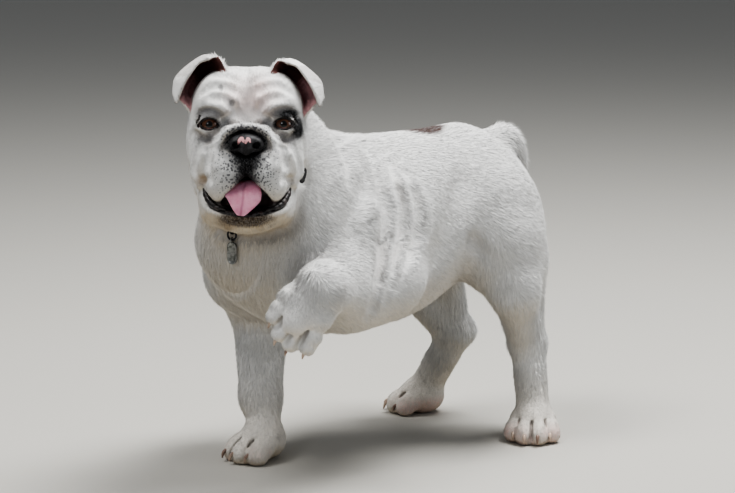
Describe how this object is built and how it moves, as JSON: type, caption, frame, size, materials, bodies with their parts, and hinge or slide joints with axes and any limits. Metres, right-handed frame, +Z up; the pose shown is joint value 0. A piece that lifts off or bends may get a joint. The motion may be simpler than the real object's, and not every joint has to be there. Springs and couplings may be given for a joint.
{
  "type": "bulldog figure",
  "caption": "Life-size still figure of a young white bulldog standing with one fore paw raised and its head turned, mouth open.",
  "frame": {"origin": "on the floor under the middle of the figure's bounding box", "axes": "+Z up, the chest faces -Y and the rump +Y, +X is the animal's left"},
  "size_m": [0.2686, 0.4658, 0.4378],
  "materials": {
    "coat": "short dense white coat, matt, with grey speckles, a black eye patch and a dark patch on the back",
    "eye": "dark brown, wet and glossy",
    "nose_skin": "black pebbled skin, slightly moist",
    "tongue_skin": "pink, moist, fine grain",
    "claw": "horn, pale with a darker root",
    "strap": "black woven webbing",
    "wire": "dark round wire",
    "pewter": "dull grey metal"
  },
  "bodies": {
    "root": {"head": "coat", "muzzle": "coat", "jaw": "coat", "torso": "coat", "neck": "coat", "tail": "coat", "thigh_left": "coat", "shank_left": "coat", "thigh_right": "coat", "shank_right": "coat", "upper_arm_right": "coat", "forearm_right": "coat", "upper_arm_left": "coat", "forearm_left": "coat", "ear_left": "coat", "ear_right": "coat", "paw_hind_left": "coat", "paw_hind_right": "coat", "paw_fore_right": "coat", "paw_fore_left": "coat", "eye_left": "eye", "eye_right": "eye", "nose": "nose_skin", "tongue": "tongue_skin", "claw_hind_left_1": "claw", "claw_hind_left_2": "claw", "claw_hind_left_3": "claw", "claw_hind_left_4": "claw", "claw_hind_right_1": "claw", "claw_hind_right_2": "claw", "claw_hind_right_3": "claw", "claw_hind_right_4": "claw", "claw_fore_right_1": "claw", "claw_fore_right_2": "claw", "claw_fore_right_3": "claw", "claw_fore_right_4": "claw", "claw_fore_left_1": "claw", "claw_fore_left_2": "claw", "claw_fore_left_3": "claw", "claw_fore_left_4": "claw", "collar": "strap", "ring": "wire", "tag": "pewter"}
  },
  "joints": []
}
